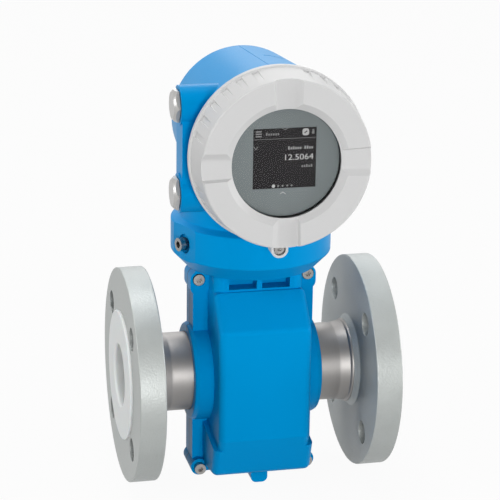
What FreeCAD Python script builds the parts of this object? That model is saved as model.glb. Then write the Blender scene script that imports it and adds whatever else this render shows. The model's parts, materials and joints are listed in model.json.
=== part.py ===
import FreeCAD, Part
import math
import os

# Electromagnetic flow meter, DN 50, with a turning transmitter head and a screw-on display cover.
# Millimetres. The origin is on the pipe axis at mid length, +X runs along the pipe,
# -Y is the display side and +Z is up.

# ---------------------------------------------------------------- clearances
running_fit = 0.08
thread_gap = 0.05
moving_gap = 0.3
assembly_gap = 0.3
turning_gap = 0.5

# ---------------------------------------------------------------- process connection
face_to_face = 200.0
flange_diameter = 165.0
flange_thickness = 20.0
flange_edge = 1.0
bolt_circle = 125.0
bolt_hole = 18.0
bolt_count = 4
hub_length = 5.0
hub_flare = 4.5
tube_flare = 1.5
tube_flare_length = 9.0
tube_diameter = 60.3
tube_wall = 2.9
liner_wall = 3.6
liner_face_diameter = 100.0
liner_face_thickness = 2.0
liner_edge = 1.2
bead_width = 3.6
bead_height = 0.5

# ---------------------------------------------------------------- measuring system inside the shells
electrode_head_diameter = 10.0
electrode_head_thickness = 1.5
electrode_pin_diameter = 5.0
electrode_pin_stand = 12.0
sleeve_wall = 1.5
sleeve_stand = 2.0
nut_width = 9.0
nut_height = 4.0
coil_thickness = 10.0
coil_length = 46.0
coil_width = 52.0
coil_leg = 11.0
core_diameter = 20.0
yoke_gap = 5.0
yoke_wall = 2.0
yoke_length = 40.0

# ---------------------------------------------------------------- sensor shells
shell_wall = 4.0
shell_room = 6.6
gasket_thickness = 1.0
rim_thickness = 11.5
rim_half_width = 47.0
rim_foot = 80.0
rim_corner = 7.0
block_half_width = 35.4
block_edge_radius = 5.0
skirt_step = 3.4
upper_crease = 48.5
lower_crease = 38.0
slant_rise = 24.0
slant_run = 24.5
skirt_height = 31.5
skirt_lean = 10.2
skirt_shoulder = 8.5
belly_drop = 6.0
toe_radius = 5.0
neck_height = 13.5
neck_inset = 2.0
neck_corner = 8.0
pocket_width = 21.5
pocket_depth = 12.5
pocket_rib = 4.0
pocket_sill = 1.5
tube_boss_wall = 6.5
tube_boss_reach = 49.5
foot_width = 13.0
foot_length = 13.0
foot_setback = 14.0
foot_height = 10.0
seal_width = 4.0
seal_thickness = 3.0
seal_inset = 5.5

# ---------------------------------------------------------------- socket cap screws, M6 and M5
screw_diameter = 6.0
screw_head_diameter = 10.0
screw_head_height = 6.0
screw_socket = 5.0
screw_socket_depth = 3.0
small_screw_diameter = 5.0
small_head_diameter = 8.5
small_head_height = 5.0
small_socket = 4.0
small_socket_depth = 2.5

# ---------------------------------------------------------------- shell screws
screw_hole_play = 0.6
screw_boss_diameter = 13.0
screw_spacing = 85.0
screw_top_drop = 9.0
screw_top_sink = 4.0
screw_top_lug = 6.0
screw_foot_rise = 6.0
screw_foot_boss = 6.0
screw_grip = 9.0

# ---------------------------------------------------------------- neck ring that carries the head
stem_diameter = 32.0
stem_lip = 3.0
stem_lip_height = 4.0
stem_lip_depth = 11.0
neck_diameter = 84.0
neck_bore = 22.0
neck_cup_wall = 9.0
neck_floor = 5.0
groove_depth = 2.4
neck_seal_height = 3.4
neck_seal_drop = 12.0

# ---------------------------------------------------------------- transmitter housing
collar_diameter = 122.0
collar_foot_diameter = 100.0
cone_height = 11.5
collar_height = 24.0
ledge_height = 3.0
roof_thickness = 4.0
pedestal_diameter = 109.0
pedestal_wall = 8.0
axis_rise = 66.5
barrel_front = 78.0
barrel_back = 50.0
barrel_front_diameter = 124.0
barrel_back_diameter = 106.4
barrel_back_radius = 12.0
seam_width = 1.0
seam_depth = 0.5
seam_angle = -2.5
relief_place = 13.0
relief_width = 1.6
relief_depth = 1.2
relief_start = 5.0
relief_sweep = 60.0
spigot_diameter = 117.0
spigot_length = 14.0
bay_diameter = 100.0
bay_floor = 16.0
entry_diameter = 29.0
entry_spacing = 65.0
entry_reach = 67.4
entry_setback = 23.0
entry_web_inset = 1.0
entry_web_width = 22.0
plug_thread = 20.0
plug_across_flats = 22.5
plug_head = 4.2
plug_chamfer = 1.4
plug_shank = 9.0
plug_seal_thickness = 0.6
plug_seal_diameter = 22.0
fixing_angle = 200.0
fixing_height = 11.0
fixing_flat = 59.0
fixing_pocket_depth = 2.5
fixing_pocket_diameter = 15.0
fixing_stand = 2.0

# ---------------------------------------------------------------- display, electronics
module_play = 4.0
module_length = 76.0
module_screw_diameter = 4.0
module_screw_head = 7.0
module_screw_inset = 6.0
module_screw_count = 3
terminal_width = 46.0
terminal_height = 16.0
terminal_depth = 14.0
terminal_ways = 6
terminal_drop = 14.0
fascia_diameter = 80.4
fascia_thickness = 2.5
screen_width = 45.7
screen_height = 43.7
screen_offset = 2.5
screen_thickness = 1.2
display_depth = 12.0
display_diameter = 79.0
carrier_thickness = 2.0
carrier_post = 7.0
carrier_post_circle = 64.0

# ---------------------------------------------------------------- cover
cover_length = 33.3
cover_rim_diameter = 130.8
cover_rim_length = 5.0
cover_band_diameter = 128.2
cover_band_step = 0.5
cover_front_diameter = 122.4
cover_edge_chamfer = 0.9
window_diameter = 79.4
window_bevel = 5.0
window_bevel_depth = 3.4
window_lip = 1.2
glass_diameter = 90.0
glass_thickness = 5.0
fascia_gap = 0.8
glass_seal_thickness = 0.3
retainer_thickness = 4.0
retainer_width = 4.0
bore_length = 15.0
cover_seal_width = 3.4
cover_seal_thickness = 2.3
cover_seal_inset = 1.7
grip_outer_width = 21.6
grip_inner_width = 19.6
grip_depth = 3.2
grip_steep_wall = 1.4
grip_gentle_wall = 4.8
grip_steep_corner = 0.8
grip_gentle_corner = 4.0
grip_count = 4
flutes_per_quarter = 6
flute_pitch_angle = 11.25
flute_floor_width = 4.0
flute_wall_lean = 0.7
flute_depth = 1.2
flute_fade = 0.85
lug_reach = 68.0
lug_diameter = 12.6
lug_thickness = 11.0
lug_setback = 3.0
lock_screw_diameter = 4.0
lock_head_diameter = 7.0
lock_head_height = 4.0
lock_socket = 3.0
lock_socket_depth = 2.0
lock_pocket_play = 1.1
lock_sink = 1.2

# ---------------------------------------------------------------- places that follow from the sizes
tube_radius = tube_diameter / 2
tube_inner = tube_radius - tube_wall
flow_radius = tube_inner - liner_wall
tube_end_radius = tube_radius + tube_flare
flange_face = face_to_face / 2
flange_back = flange_face - flange_thickness
weld_place = flange_back - hub_length
coil_inner = tube_radius + turning_gap
coil_outer = coil_inner + coil_thickness
yoke_inner = coil_outer + yoke_gap
yoke_outer = yoke_inner + yoke_wall
block_front = yoke_outer + shell_room + shell_wall
gasket_half = gasket_thickness / 2
rim_front = gasket_half + rim_thickness
ledge_level = upper_crease + slant_rise
ledge_front = block_front - slant_run
housing_top = ledge_level + neck_height
toe_level = lower_crease + skirt_height
toe_front = block_front - skirt_lean
belly_level = toe_level + belly_drop
neck_front = ledge_front - neck_inset
tube_boss_radius = tube_radius + tube_boss_wall
screw_top_level = housing_top - screw_top_drop
screw_foot_level = screw_foot_rise - rim_foot
screw_offset = screw_spacing / 2
neck_radius = neck_diameter / 2
collar_bottom = housing_top + turning_gap
collar_level = collar_bottom + cone_height
collar_top = collar_level + collar_height
ledge_top = collar_top + ledge_height
collar_bore = neck_radius + running_fit
collar_roof = collar_top - roof_thickness
neck_top = collar_roof - turning_gap
barrel_axis = ledge_top + axis_rise
fixing_level = collar_level + fixing_height
entry_back = barrel_front - entry_setback
module_diameter = bay_diameter - 2 * module_play
module_screw_circle = module_diameter - 2 * module_screw_inset
module_back = barrel_back - bay_floor
module_front = module_back - module_length
cover_back = barrel_front + moving_gap
cover_front = cover_back + cover_length
glass_seat = cover_front - window_bevel_depth - window_lip
glass_front = glass_seat - glass_seal_thickness
glass_back = glass_front - glass_thickness
retainer_back = glass_back - retainer_thickness
fascia_front = glass_back - fascia_gap
fascia_back = fascia_front - fascia_thickness
display_back = fascia_back - display_depth
carrier_back = display_back - carrier_thickness

V = FreeCAD.Vector
X_AXIS = V(1, 0, 0)
Y_AXIS = V(0, 1, 0)
Z_AXIS = V(0, 0, 1)
head_axis = V(0, 0, barrel_axis)


# ---------------------------------------------------------------- shape helpers
def outline(corners, place):
    # A closed flat face. Each corner is (a, b) or (a, b, radius); place(a, b) gives its point.
    ends = []
    count = len(corners)
    for index in range(count):
        corner = V(corners[index][0], corners[index][1], 0)
        radius = corners[index][2] if len(corners[index]) > 2 else 0
        before = V(corners[index - 1][0], corners[index - 1][1], 0) - corner
        after = V(corners[(index + 1) % count][0], corners[(index + 1) % count][1], 0) - corner
        before.normalize()
        after.normalize()
        half = before.getAngle(after) / 2
        if radius <= 0 or half > 1.569:
            ends.append((corner, None, corner))
            continue
        tangent = radius / math.tan(half)
        middle = before + after
        middle.normalize()
        apex = corner + middle * (radius / math.sin(half) - radius)
        ends.append((corner + before * tangent, apex, corner + after * tangent))
    edges = []
    for index in range(count):
        start, apex, end = ends[index]
        last = ends[index - 1][2]
        if last.distanceToPoint(start) > 1e-6:
            edges.append(Part.LineSegment(place(last.x, last.y), place(start.x, start.y)).toShape())
        if apex is not None:
            arc = Part.Arc(place(start.x, start.y), place(apex.x, apex.y), place(end.x, end.y))
            edges.append(arc.toShape())
    return Part.Face(Part.Wire(edges))


def upright(shape):
    if shape.Volume < 0:
        shape.reverse()
    return shape


def turned_on_pipe(corners):
    # corners are (x, radius)
    face = outline(corners, lambda along, radius: V(along, radius, 0))
    return upright(face.revolve(V(0, 0, 0), X_AXIS, 360))


def turned_on_post(corners):
    # corners are (radius, z)
    face = outline(corners, lambda radius, level: V(radius, 0, level))
    return upright(face.revolve(V(0, 0, 0), Z_AXIS, 360))


def turned_on_head(corners):
    # corners are (distance to the front of the origin, radius) about the display's axis
    face = outline(corners, lambda front, radius: V(radius, -front, barrel_axis))
    return upright(face.revolve(head_axis, Y_AXIS, 360))


def side_prism(corners, half_width):
    # corners are (y, z), run across X
    face = outline(corners, lambda y, z: V(-half_width, y, z))
    return upright(face.extrude(V(2 * half_width, 0, 0)))


def front_prism(corners, y_start, y_end):
    # corners are (x, z), run along Y
    face = outline(corners, lambda x, z: V(x, y_start, z))
    return upright(face.extrude(V(0, y_end - y_start, 0)))


def box(x0, x1, y0, y1, z0, z1):
    return Part.makeBox(x1 - x0, y1 - y0, z1 - z0, V(x0, y0, z0))


def bar(radius, start, end):
    # A round bar from one point to another.
    run = end - start
    return Part.makeCylinder(radius, run.Length, start, run)


def ring(outer, inner, start, end):
    return bar(outer, start, end).cut(bar(inner, start, end))


def hexagon(width, start, end, first_corner):
    # A hexagonal bar between two points; first_corner is a direction across the bar.
    run = end - start
    corner = V(first_corner)
    corner.normalize()
    corner = corner * (width / math.sqrt(3))
    turn = FreeCAD.Rotation(run, 60)
    corners = []
    for _ in range(6):
        corners.append(start + corner)
        corner = turn.multVec(corner)
    corners.append(corners[0])
    return upright(Part.Face(Part.makePolygon(corners)).extrude(run))


def fused(shapes):
    whole = shapes[0]
    for shape in shapes[1:]:
        whole = whole.fuse(shape)
    return whole.removeSplitter()


def around(shape, centre, axis, count):
    return [shape.copy().rotate(centre, axis, 360.0 * step / count) for step in range(count)]


def mirrored_y(shape):
    return shape.mirror(V(0, 0, 0), Y_AXIS)


def socket_screw(seat, direction, diameter, length, head, head_height, socket, socket_depth):
    # A cap screw: its head stands on the seat point and its shank runs along direction.
    run = V(direction)
    run.normalize()
    crown = seat - run * head_height
    body = bar(head / 2, crown, seat)
    body = body.fuse(bar(diameter / 2, seat, seat + run * length))
    across = run.cross(Z_AXIS)
    if across.Length < 0.1:
        across = run.cross(X_AXIS)
    recess = hexagon(socket, crown, crown + run * socket_depth, across)
    return body.cut(recess).removeSplitter()


# ---------------------------------------------------------------- pipe pieces
def measuring_tube():
    # Plain tube whose two ends swell slightly where they meet the flanges.
    flare = weld_place - tube_flare_length
    tube = turned_on_pipe([
        (-weld_place, tube_inner),
        (-weld_place, tube_end_radius),
        (-flare, tube_radius, tube_flare_length),
        (flare, tube_radius, tube_flare_length),
        (weld_place, tube_end_radius),
        (weld_place, tube_inner),
    ])
    hole = electrode_pin_diameter / 2 + sleeve_wall + thread_gap
    return tube.cut(bar(hole, V(0, -block_front, 0), V(0, block_front, 0)))


def flange(side):
    # Flange with a short weld hub; side is -1 at the inlet and +1 at the outlet.
    profile = outline([
        (side * weld_place, tube_inner),
        (side * flange_face, tube_inner),
        (side * flange_face, flange_diameter / 2, flange_edge),
        (side * flange_back, flange_diameter / 2, flange_edge),
        (side * flange_back, tube_end_radius + hub_flare, flange_edge),
        (side * weld_place, tube_end_radius),
    ], lambda along, radius: V(along, radius, 0))
    body = upright(profile.revolve(V(0, 0, 0), X_AXIS, 360))
    hole = bar(bolt_hole / 2, V(side * (flange_back - 1), 0, 0), V(side * (flange_face + 1), 0, 0))
    hole.translate(V(0, 0, bolt_circle / 2))
    hole.rotate(V(0, 0, 0), X_AXIS, 180.0 / bolt_count)
    for cutter in around(hole, V(0, 0, 0), X_AXIS, bolt_count):
        body = body.cut(cutter)
    return body


def weld_beads():
    beads = []
    for side in (-1, 1):
        face = outline([
            (side * (weld_place - bead_width / 2), tube_radius),
            (side * (weld_place - bead_width / 2), tube_end_radius - bead_height),
            (side * weld_place, tube_end_radius + 2 * bead_height, bead_width / 2),
            (side * (weld_place + bead_width / 2), tube_end_radius + 2 * bead_height),
            (side * (weld_place + bead_width / 2), tube_radius),
        ], lambda along, radius: V(along, radius, 0))
        beads.append(upright(face.revolve(V(0, 0, 0), X_AXIS, 360)))
    bodies = measuring_tube().fuse([flange(-1), flange(1)])
    return Part.makeCompound([bead.cut(bodies) for bead in beads])


def tube_liner():
    end = flange_face + liner_face_thickness
    disc = liner_face_diameter / 2
    lip = liner_face_thickness
    body = turned_on_pipe([
        (-end, flow_radius, lip),
        (end, flow_radius, lip),
        (end, disc, liner_edge),
        (flange_face, disc),
        (flange_face, tube_inner),
        (-flange_face, tube_inner),
        (-flange_face, disc),
        (-end, disc, liner_edge),
    ])
    pin = electrode_pin_diameter / 2 + thread_gap
    body = body.cut(bar(pin, V(0, -tube_radius, 0), V(0, tube_radius, 0)))
    head = electrode_head_diameter / 2 + thread_gap
    depth = flow_radius + electrode_head_thickness
    return body.cut(bar(head, V(0, -depth, 0), V(0, depth, 0)))


def electrode():
    # Front measuring electrode: its disc is flush with the bore and its pin runs out through the wall.
    seat = flow_radius + electrode_head_thickness
    end = tube_radius + electrode_pin_stand
    head = bar(electrode_head_diameter / 2, V(0, -flow_radius, 0), V(0, -seat, 0))
    pin = bar(electrode_pin_diameter / 2, V(0, -seat, 0), V(0, -end, 0))
    return head.fuse(pin).removeSplitter()


def electrode_sleeve():
    inner = electrode_pin_diameter / 2 + thread_gap
    start = V(0, -tube_inner, 0)
    end = V(0, -tube_radius - sleeve_stand, 0)
    return ring(inner + sleeve_wall - thread_gap, inner, start, end)


def electrode_nut():
    start = V(0, -tube_radius - sleeve_stand, 0)
    end = start - Y_AXIS * nut_height
    nut = hexagon(nut_width, start, end, Z_AXIS)
    return nut.cut(bar(electrode_pin_diameter / 2 + thread_gap, start, end))


# ---------------------------------------------------------------- magnet system
def coil():
    # Upper saddle coil: a racetrack of wire bent over the tube.
    outer = [
        (-coil_length / 2, -coil_width / 2, coil_leg),
        (coil_length / 2, -coil_width / 2, coil_leg),
        (coil_length / 2, coil_width / 2, coil_leg),
        (-coil_length / 2, coil_width / 2, coil_leg),
    ]
    inner_length = coil_length / 2 - coil_leg
    inner_width = coil_width / 2 - coil_leg - 1
    inner = [
        (-inner_length, -inner_width, 2),
        (inner_length, -inner_width, 2),
        (inner_length, inner_width, 2),
        (-inner_length, inner_width, 2),
    ]
    flat = lambda x, y: V(x, y, 0)
    frame = outline(outer, flat).extrude(V(0, 0, coil_outer + 1))
    frame = frame.cut(outline(inner, flat).extrude(V(0, 0, coil_outer + 1)))
    reach = V(coil_length, 0, 0)
    return frame.common(ring(coil_outer, coil_inner, reach * -1, reach))


def pole_core():
    # Upper pole core between the tube and the yoke.
    core = bar(core_diameter / 2, V(0, 0, coil_inner / 2), V(0, 0, yoke_outer))
    reach = V(core_diameter, 0, 0)
    return core.common(ring(yoke_inner, coil_inner, reach * -1, reach))


def magnet_yoke():
    half = V(yoke_length / 2, 0, 0)
    return ring(yoke_outer, yoke_inner, half * -1, half)


def turned_under(shape):
    return shape.copy().rotate(V(0, 0, 0), X_AXIS, 180)


# ---------------------------------------------------------------- sensor shells
def rounded_sides(body, half_width, radius, top):
    # Rounds the outline edges of the two side faces below a level, in front of the rims.
    picked = []
    for edge in body.Edges:
        centre = edge.CenterOfMass
        on_side = abs(abs(centre.x) - half_width) < 1e-4
        if on_side and -centre.y > rim_front and centre.z < top:
            picked.append(edge)
    return body.makeFillet(radius, picked)


def shell_block():
    # Front half of the tall block over the coils.
    body = side_prism([
        (0, ledge_level),
        (-ledge_front, ledge_level, 1),
        (-block_front, upper_crease, 6),
        (-block_front, -lower_crease, 2),
        (-toe_front, -toe_level, toe_radius),
        (-rim_front, -belly_level),
        (0, -belly_level),
    ], block_half_width)
    return rounded_sides(body, block_half_width, block_edge_radius, ledge_level)


def shell_skirt():
    # Front half of the lower part, which is wider than the block and has a sloping shoulder.
    shoulder = lower_crease + skirt_shoulder
    front = block_front - skirt_lean * skirt_shoulder / skirt_height
    half_width = block_half_width + skirt_step
    body = side_prism([
        (0, -lower_crease),
        (-rim_front, -lower_crease),
        (-front, -shoulder),
        (-toe_front, -toe_level, toe_radius),
        (-rim_front, -belly_level),
        (0, -belly_level),
    ], half_width)
    return rounded_sides(body, half_width, block_edge_radius, -shoulder)


def shell_rim():
    return front_prism([
        (-rim_half_width, -rim_foot, rim_corner),
        (rim_half_width, -rim_foot, rim_corner),
        (rim_half_width, housing_top, rim_corner),
        (-rim_half_width, housing_top, rim_corner),
    ], -rim_front, rim_front)


def shell_neck():
    half_width = block_half_width - 1
    corners = [
        (-half_width, -neck_front, neck_corner),
        (half_width, -neck_front, neck_corner),
        (half_width, neck_front, neck_corner),
        (-half_width, neck_front, neck_corner),
    ]
    face = outline(corners, lambda x, y: V(x, y, ledge_level - shell_wall))
    neck = upright(face.extrude(V(0, 0, housing_top - ledge_level + shell_wall)))
    inner = pocket_rib / 2
    outer = inner + pocket_width
    for side in (-1, 1):
        for y_side in (-1, 1):
            x0, x1 = sorted((side * inner, side * outer))
            y0, y1 = sorted((y_side * (neck_front - pocket_depth), y_side * (neck_front + 1)))
            neck = neck.cut(box(x0, x1, y0, y1, ledge_level + pocket_sill, housing_top + 1))
    return neck


def shell_foot():
    end = -belly_level - foot_height / 2
    middle = foot_setback - toe_front
    return front_prism([
        (-foot_width / 2, end, foot_width / 3),
        (foot_width / 2, end, foot_width / 3),
        (foot_width / 2, end + foot_height),
        (-foot_width / 2, end + foot_height),
    ], middle - foot_length / 2, middle + foot_length / 2)


def screw_places():
    # (x, z, distance of the head's seat in front of the joint)
    places = []
    for x in (-screw_offset, screw_offset):
        places.append((x, screw_top_level, rim_front - screw_top_sink))
        places.append((x, screw_foot_level, rim_front + screw_foot_boss))
    return places


def screw_bosses():
    # Round bosses on the rims; the upper ones run on downwards as short lugs.
    radius = screw_boss_diameter / 2
    bosses = []
    for x, z, seat in screw_places():
        front = max(seat, rim_front)
        bosses.append(bar(radius, V(x, -front, z), V(x, rim_front, z)))
        if z > 0:
            low = z - screw_top_lug
            bosses.append(bar(radius, V(x, -front, low), V(x, rim_front, low)))
            bosses.append(box(x - radius, x + radius, -front, rim_front, low, z))
    return bosses


def tube_bosses():
    chamfer = tube_boss_wall / 4
    return turned_on_pipe([
        (-tube_boss_reach, 0),
        (-tube_boss_reach, tube_boss_radius, chamfer),
        (-tube_boss_reach + 2 * chamfer, tube_boss_radius + chamfer, chamfer),
        (tube_boss_reach - 2 * chamfer, tube_boss_radius + chamfer, chamfer),
        (tube_boss_reach, tube_boss_radius, chamfer),
        (tube_boss_reach, 0),
    ])


def shell_cavity():
    start = shell_wall - block_half_width
    sharp = outline([
        (ledge_front, ledge_level),
        (-ledge_front, ledge_level),
        (-block_front, upper_crease),
        (-block_front, -lower_crease),
        (-toe_front, -toe_level),
        (toe_front, -toe_level),
        (block_front, -lower_crease),
        (block_front, upper_crease),
    ], lambda y, z: V(start, y, z))
    inner = Part.Face(sharp.Wires[0].makeOffset2D(-shell_wall))
    return upright(inner.extrude(V(-2 * start, 0, 0)))


def seal_places():
    start = tube_boss_reach - seal_inset - seal_width
    return [(-start - seal_width, -start), (start, start + seal_width)]


def shells():
    # Front shell, rear shell and the gasket between them, cut from one closed housing.
    solids = [shell_rim(), shell_neck(), tube_bosses()] + screw_bosses()
    for half in (shell_block(), shell_skirt(), shell_foot()):
        solids += [half, mirrored_y(half)]
    body = fused(solids)
    body = body.cut(shell_cavity())
    bore = tube_radius + assembly_gap
    far = V(2 * tube_boss_reach, 0, 0)
    body = body.cut(bar(bore, far * -1, far))
    groove = tube_radius + seal_thickness + thread_gap
    for start, end in seal_places():
        body = body.cut(bar(groove, V(start - thread_gap, 0, 0), V(end + thread_gap, 0, 0)))
    stem = stem_diameter / 2
    body = body.cut(bar(stem + assembly_gap, V(0, 0, 0), V(0, 0, housing_top + 1)))
    lip_top = housing_top - stem_lip_depth + stem_lip_height + thread_gap
    lip_foot = housing_top - stem_lip_depth - thread_gap
    lip = stem + stem_lip + assembly_gap
    body = body.cut(bar(lip, V(0, 0, lip_foot), V(0, 0, lip_top)))
    for x, z, seat in screw_places():
        free = small_screw_diameter / 2 + screw_hole_play / 2
        body = body.cut(bar(free, V(x, -seat - 1, z), V(x, gasket_half, z)))
        tapped = small_screw_diameter / 2 + thread_gap
        body = body.cut(bar(tapped, V(x, 0, z), V(x, screw_grip + 1, z)))
        spot = small_head_diameter / 2 + screw_hole_play
        body = body.cut(bar(spot, V(x, -seat - 3 * small_head_height, z), V(x, -seat, z)))
    size = 4 * block_front
    front = body.common(box(-size, size, -size, -gasket_half, -size, size))
    rear = body.common(box(-size, size, gasket_half, size, -size, size))
    gasket = body.common(box(-size, size, -gasket_half, gasket_half, -size, size))
    return front, rear, gasket


def shell_screws():
    screws = []
    for x, z, seat in screw_places():
        screws.append(socket_screw(V(x, -seat, z), Y_AXIS, small_screw_diameter, seat + screw_grip,
                                   small_head_diameter, small_head_height, small_socket, small_socket_depth))
    return Part.makeCompound(screws)


def tube_seals():
    seals = []
    for start, end in seal_places():
        seals.append(ring(tube_radius + seal_thickness, tube_radius, V(start, 0, 0), V(end, 0, 0)))
    return Part.makeCompound(seals)


# ---------------------------------------------------------------- neck ring
def fixing_groove():
    half = screw_diameter / 2 + assembly_gap
    return ring(neck_radius + 1, neck_radius - groove_depth,
                V(0, 0, fixing_level - half), V(0, 0, fixing_level + half))


def neck_seal_span():
    top = fixing_level - neck_seal_drop + neck_seal_height / 2
    return V(0, 0, top - neck_seal_height), V(0, 0, top)


def neck_ring():
    stem = stem_diameter / 2
    lip_foot = housing_top - stem_lip_depth
    body = turned_on_post([
        (neck_bore / 2, lip_foot),
        (stem + stem_lip, lip_foot),
        (stem + stem_lip, lip_foot + stem_lip_height),
        (stem, lip_foot + stem_lip_height),
        (stem, housing_top),
        (neck_radius, housing_top, 1),
        (neck_radius, neck_top, 1),
        (neck_radius - neck_cup_wall, neck_top),
        (neck_radius - neck_cup_wall, housing_top + neck_floor, 2),
        (neck_bore / 2, housing_top + neck_floor),
    ])
    body = body.cut(fixing_groove())
    start, end = neck_seal_span()
    slot = ring(neck_radius + 1, neck_radius - groove_depth,
                start - Z_AXIS * thread_gap, end + Z_AXIS * thread_gap)
    return body.cut(slot)


def neck_seal():
    start, end = neck_seal_span()
    return ring(neck_radius, neck_radius - groove_depth + thread_gap, start, end)


# ---------------------------------------------------------------- transmitter housing
def compass(angle):
    return V(math.cos(math.radians(angle)), math.sin(math.radians(angle)), 0)


def fixing_angles():
    return (fixing_angle, fixing_angle + 180)


def entry_levels():
    return (barrel_axis - entry_spacing / 2, barrel_axis + entry_spacing / 2)


def collar():
    top = barrel_axis
    body = turned_on_post([
        (0, collar_bottom),
        (collar_foot_diameter / 2, collar_bottom, 1),
        (collar_diameter / 2, collar_level, 1.5),
        (collar_diameter / 2, collar_top, 1.5),
        (pedestal_diameter / 2, ledge_top, 1.5),
        (pedestal_diameter / 2, top),
        (0, top),
    ])
    size = 2 * collar_diameter
    body = body.cut(box(-size, size, barrel_back, size, ledge_top, size + top))
    for angle in fixing_angles():
        slab = box(fixing_flat, size, -size, size, 0, ledge_top)
        slab.rotate(V(0, 0, 0), Z_AXIS, angle)
        body = body.cut(slab)
    return body


def barrel():
    return turned_on_head([
        (barrel_front + spigot_length, 0),
        (barrel_front + spigot_length, spigot_diameter / 2, 0.8),
        (barrel_front, spigot_diameter / 2),
        (barrel_front, barrel_front_diameter / 2, 1.5),
        (-barrel_back, barrel_back_diameter / 2, barrel_back_radius),
        (-barrel_back, 0),
    ])


def barrel_radius(front):
    # Outer radius of the tapering barrel at a distance in front of the origin.
    taper = (barrel_front_diameter - barrel_back_diameter) / 2 / (barrel_front + barrel_back)
    return barrel_front_diameter / 2 - taper * (barrel_front - front)


def barrel_seams():
    # The casting's long seam along the top and the short relief line across its right shoulder.
    start = barrel_radius(barrel_front)
    seam = outline([
        (-seam_width / 2, barrel_axis + start + seam_depth / 2),
        (seam_width / 2, barrel_axis + start + seam_depth / 2),
        (0, barrel_axis + start - seam_depth),
    ], lambda x, z: V(x, -barrel_front, z))
    drop = barrel_radius(-barrel_back) - start
    seam = upright(seam.extrude(V(0, barrel_front + barrel_back, drop)))
    seam.rotate(head_axis, Y_AXIS, seam_angle)
    level = barrel_radius(relief_place)
    relief = outline([
        (relief_place - relief_width / 2, level + relief_depth),
        (relief_place + relief_width / 2, level + relief_depth),
        (relief_place + relief_width / 2, level - relief_depth),
        (relief_place - relief_width / 2, level - relief_depth),
    ], lambda front, radius: V(0, -front, barrel_axis + radius))
    relief = upright(relief.revolve(head_axis, Y_AXIS, relief_sweep))
    relief.rotate(head_axis, Y_AXIS, relief_start)
    return [seam, relief]


def entry_bosses():
    solids = []
    radius = entry_diameter / 2
    low, high = entry_levels()
    for level in (low, high):
        solids.append(bar(radius, V(-entry_reach, -entry_back, level), V(-radius, -entry_back, level)))
    half = entry_web_width / 2
    solids.append(box(entry_web_inset - entry_reach, -radius,
                      -entry_back - half, -entry_back + half, low, high))
    return solids


def transmitter_housing():
    body = fused([collar(), barrel()] + entry_bosses())
    for groove in barrel_seams():
        body = body.cut(groove)
    bay = turned_on_head([
        (barrel_front + spigot_length + 1, 0),
        (barrel_front + spigot_length + 1, bay_diameter / 2),
        (-module_back, bay_diameter / 2, 2),
        (-module_back, 0),
    ])
    body = body.cut(bay)
    body = body.cut(bar(collar_bore, V(0, 0, 0), V(0, 0, collar_roof)))
    shaft = pedestal_diameter / 2 - pedestal_wall
    body = body.cut(bar(shaft, V(0, 0, ledge_top + roof_thickness), head_axis))
    body = body.cut(bar(neck_bore, V(0, 0, collar_roof - 1), head_axis))
    for level in entry_levels():
        mouth = V(-entry_reach - 1, -entry_back, level)
        body = body.cut(bar(plug_thread / 2 + thread_gap, mouth, V(0, -entry_back, level)))
    for angle in fixing_angles():
        direction = compass(angle)
        centre = V(0, 0, fixing_level)
        pocket = fixing_flat - fixing_pocket_depth
        body = body.cut(bar(screw_diameter / 2 + thread_gap, centre + direction * (neck_radius - 1),
                            centre + direction * fixing_flat))
        body = body.cut(bar(fixing_pocket_diameter / 2, centre + direction * pocket,
                            centre + direction * collar_diameter))
    return body.removeSplitter()


def collar_screws():
    screws = []
    seat = fixing_flat - fixing_pocket_depth + fixing_stand
    tip = neck_radius - groove_depth + assembly_gap
    for angle in fixing_angles():
        direction = compass(angle)
        place = V(0, 0, fixing_level) + direction * seat
        screws.append(socket_screw(place, direction * -1, screw_diameter, seat - tip,
                                   screw_head_diameter, screw_head_height, screw_socket, screw_socket_depth))
    return Part.makeCompound(screws)


def cable_plug(level):
    seat = V(-entry_reach - plug_seal_thickness, -entry_back, level)
    head = hexagon(plug_across_flats, seat - X_AXIS * plug_head, seat, Y_AXIS)
    crown = seat - X_AXIS * plug_head
    face = plug_across_flats / 2 - plug_chamfer
    trimmed = Part.makeCone(face, face + plug_head, plug_head, crown, X_AXIS)
    head = head.common(trimmed)
    shank = bar(plug_thread / 2, seat, seat + X_AXIS * (plug_shank + plug_seal_thickness))
    return head.fuse(shank).removeSplitter()


def plug_seals():
    seals = []
    for level in entry_levels():
        start = V(-entry_reach - plug_seal_thickness, -entry_back, level)
        end = V(-entry_reach, -entry_back, level)
        seals.append(ring(plug_seal_diameter / 2, plug_thread / 2 + thread_gap, start, end))
    return Part.makeCompound(seals)


# ---------------------------------------------------------------- electronics and display
def on_head(x, front, up):
    return V(x, -front, barrel_axis + up)


def module_screw_places():
    places = []
    for step in range(module_screw_count):
        angle = math.radians(30 + 360.0 * step / module_screw_count)
        reach = module_screw_circle / 2
        places.append((reach * math.cos(angle), reach * math.sin(angle)))
    return places


def electronics_module():
    body = turned_on_head([
        (-module_front, 0),
        (-module_front, module_diameter / 2, 2),
        (-module_back, module_diameter / 2),
        (-module_back, 0),
    ])
    for x, up in module_screw_places():
        hole = bar(module_screw_diameter / 2 + thread_gap, on_head(x, -module_front + 1, up),
                   on_head(x, -module_front - module_length / 2, up))
        body = body.cut(hole)
    return body


def module_screws():
    screws = []
    for x, up in module_screw_places():
        seat = on_head(x, -module_front, up)
        screws.append(socket_screw(seat, Y_AXIS, module_screw_diameter, module_length / 3,
                                   module_screw_head, module_screw_diameter, module_screw_diameter * 0.75,
                                   module_screw_diameter / 2))
    return Part.makeCompound(screws)


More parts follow.
